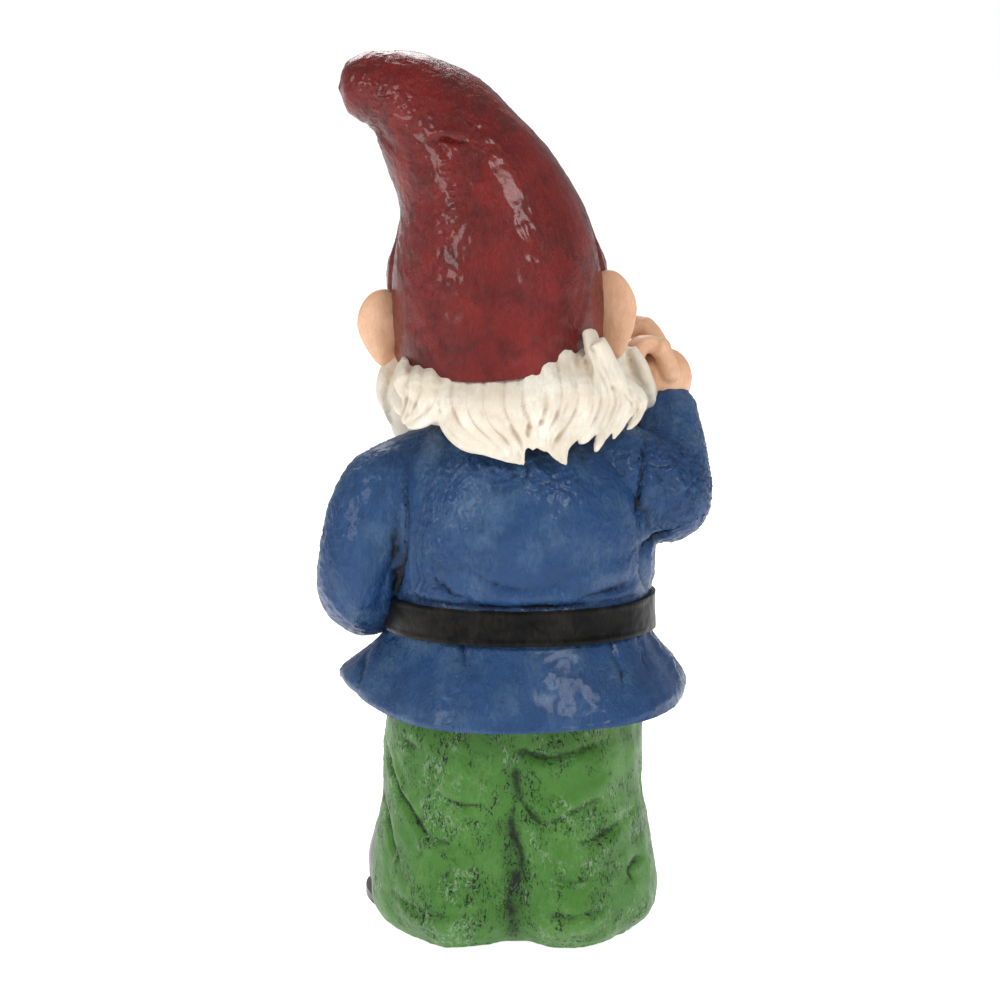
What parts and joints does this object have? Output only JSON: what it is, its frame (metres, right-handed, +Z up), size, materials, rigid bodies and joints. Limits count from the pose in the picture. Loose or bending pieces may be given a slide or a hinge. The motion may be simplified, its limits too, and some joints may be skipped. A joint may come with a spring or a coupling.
{
  "type": "garden gnome",
  "caption": "Standing garden gnome of hollow cast resin: leaning pointed hat, belted tunic, trousers, one hand raised beside the face, closed underneath by a plate with a plug.",
  "frame": {"origin": "on the floor, at the middle of the closing plate's underside", "axes": "+Z up, the gnome faces -Y, its own left hand is at +X"},
  "size_m": [0.1786, 0.1569, 0.3996],
  "materials": {
    "hat_paint": "satin",
    "skin_paint": "satin",
    "hair_paint": "satin",
    "tunic_paint": "satin",
    "belt_paint": "satin",
    "buckle_paint": "satin",
    "trouser_paint": "satin",
    "boot_paint": "satin",
    "eye_paint": "gloss",
    "bare_resin": "matte",
    "plug_rubber": "matte"
  },
  "bodies": {
    "root": {"hat": "hat_paint", "hair_back": "hair_paint", "beard": "hair_paint", "moustache_left": "hair_paint", "moustache_right": "hair_paint", "brow_left": "hair_paint", "brow_right": "hair_paint", "head": "skin_paint", "nose": "skin_paint", "ear_left": "skin_paint", "ear_right": "skin_paint", "hand_left": "skin_paint", "hand_right": "skin_paint", "eye_left": "eye_paint", "eye_right": "eye_paint", "tunic_body": "tunic_paint", "tunic_skirt": "tunic_paint", "sleeve_left": "tunic_paint", "sleeve_right": "tunic_paint", "belt_strap": "belt_paint", "buckle_frame": "buckle_paint", "buckle_prong": "buckle_paint", "trousers": "trouser_paint", "boot_left": "boot_paint", "boot_right": "boot_paint", "sole_left": "boot_paint", "sole_right": "boot_paint", "closing_plate": "bare_resin", "drain_plug": "plug_rubber"}
  },
  "joints": []
}
